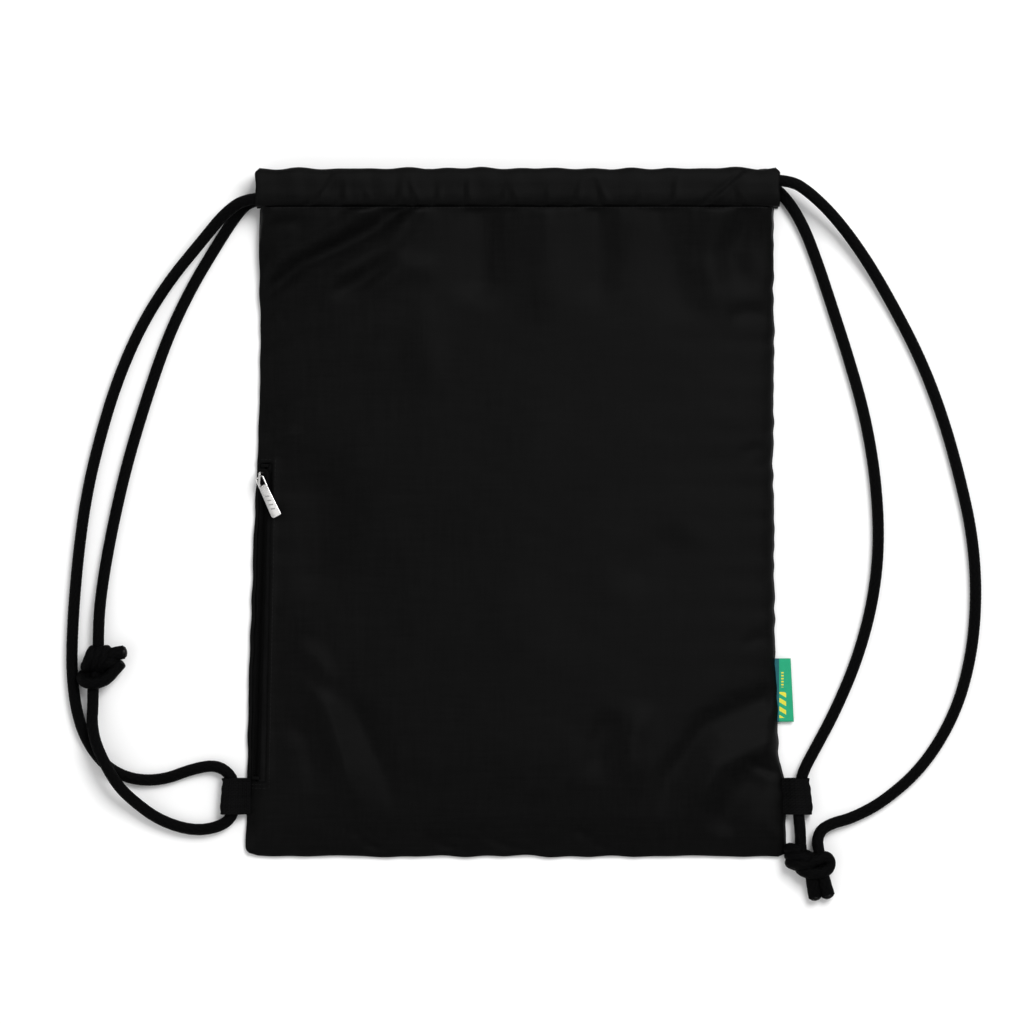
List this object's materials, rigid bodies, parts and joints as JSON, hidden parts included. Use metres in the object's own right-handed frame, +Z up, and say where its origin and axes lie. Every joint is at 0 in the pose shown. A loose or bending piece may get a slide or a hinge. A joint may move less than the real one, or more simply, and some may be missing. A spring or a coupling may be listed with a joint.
{
  "type": "drawstring backpack",
  "caption": "Flat fabric drawstring backpack with corded casings, webbing loops, knotted shoulder cords and a zip in the side seam.",
  "frame": {"origin": "on the floor under the middle of the bag, which lies on its back panel", "axes": "+Z up out of the front panel, +Y from the bottom seam to the mouth, +X to the right seen from the front"},
  "size_m": [0.599, 0.4801, 0.0234],
  "materials": {
    "satin_fabric": "black satin polyester",
    "lining_fabric": "thin black lining cloth",
    "webbing": "black woven webbing",
    "label_weave": "green woven label with yellow dashes",
    "zip_tape": "black zip tape",
    "coil_nylon": "black nylon coil",
    "nickel": "polished nickel",
    "braided_cord": "black braided polyester cord"
  },
  "bodies": {
    "bag": {"front_panel": "satin_fabric", "back_panel": "satin_fabric", "front_casing": "satin_fabric", "back_casing": "satin_fabric", "pocket_lining": "lining_fabric", "left_loop": "webbing", "right_loop": "webbing", "side_label": "label_weave", "zip_tape_front": "zip_tape", "zip_tape_back": "zip_tape", "zip_coil_front": "coil_nylon", "zip_coil_back": "coil_nylon", "zip_top_stop": "coil_nylon", "zip_bottom_stop": "coil_nylon", "left_cord_casing_run": "braided_cord", "left_cord_outer_strand": "braided_cord", "left_cord_inner_strand": "braided_cord", "left_knot": "braided_cord", "right_cord_casing_run": "braided_cord", "right_cord_outer_strand": "braided_cord", "right_cord_inner_strand": "braided_cord", "right_knot": "braided_cord"},
    "slider": {"zip_slider": "nickel"},
    "pull_tab": {"zip_pull_tab": "nickel"}
  },
  "joints": [
    {"name": "zip_slide", "type": "slide", "parent": "bag", "child": "slider", "axis": [-0.0302, -0.9995, 0], "range_m": [0, 0.1858]},
    {"name": "pull_tab_swing", "type": "hinge", "parent": "slider", "child": "pull_tab", "pos_m": [-0.16869, 0.02283, 0.01033], "axis": [-0.7913, -0.4147, -0.4494], "range_deg": [0, 95]}
  ]
}
